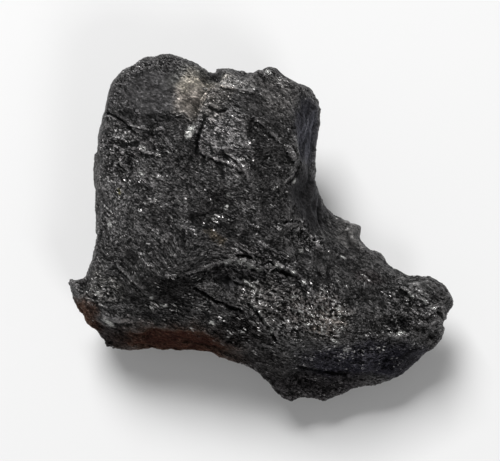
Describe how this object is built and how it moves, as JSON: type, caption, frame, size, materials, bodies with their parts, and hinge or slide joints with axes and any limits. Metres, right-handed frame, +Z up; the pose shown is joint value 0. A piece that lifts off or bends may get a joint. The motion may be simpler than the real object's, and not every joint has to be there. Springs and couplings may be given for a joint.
{
  "type": "graphite specimen",
  "caption": "Broken lump of foliated graphite, boot-shaped in plan, with a smooth cleavage plate, broken sheet edges and a flat underside that it rests on.",
  "frame": {"origin": "middle of the underside of the bounding box, on the plane the stone rests on", "axes": "+X towards the toe, +Y towards the broad end, +Z up, away from the face the stone rests on"},
  "size_m": [0.055, 0.0484, 0.0234],
  "materials": {
    "graphite": "dark grey natural graphite, foliated and scaly, submetallic sheen on the flakes, smoother on the cleavage plate"
  },
  "bodies": {
    "root": {"graphite_specimen": "graphite"}
  },
  "joints": []
}
